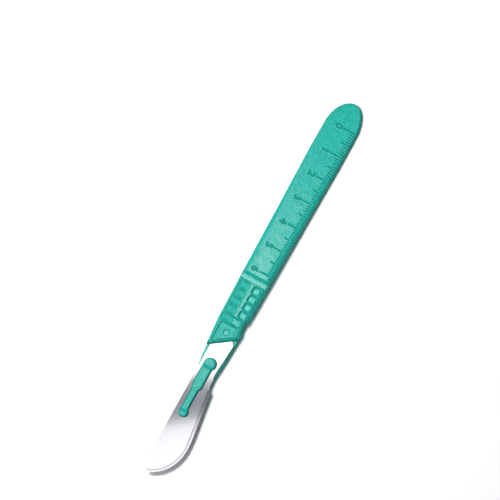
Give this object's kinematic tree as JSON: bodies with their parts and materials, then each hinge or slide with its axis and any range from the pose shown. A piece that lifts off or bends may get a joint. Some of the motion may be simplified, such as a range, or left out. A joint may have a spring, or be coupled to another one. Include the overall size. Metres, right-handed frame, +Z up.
{
  "type": "disposable scalpel",
  "caption": "Slim moulded handle with a raised centimetre scale, ribbed grip and round butt, holding a curved belly steel blade by a boss in its keyhole slot.",
  "frame": {"origin": "middle of the scalpel's length and width, on the surface it lies on", "axes": "+X from the butt to the blade's tip, +Y to the cutting edge, +Z up through the thickness, out of the face with the scale"},
  "size_m": [0.153, 0.0152, 0.005],
  "materials": {
    "handle_plastic": "satin teal moulding with a fine grain",
    "blade_steel": "bright satin faces with a ground cutting edge"
  },
  "bodies": {
    "root": {"handle": "handle_plastic", "blade": "blade_steel"}
  },
  "joints": []
}
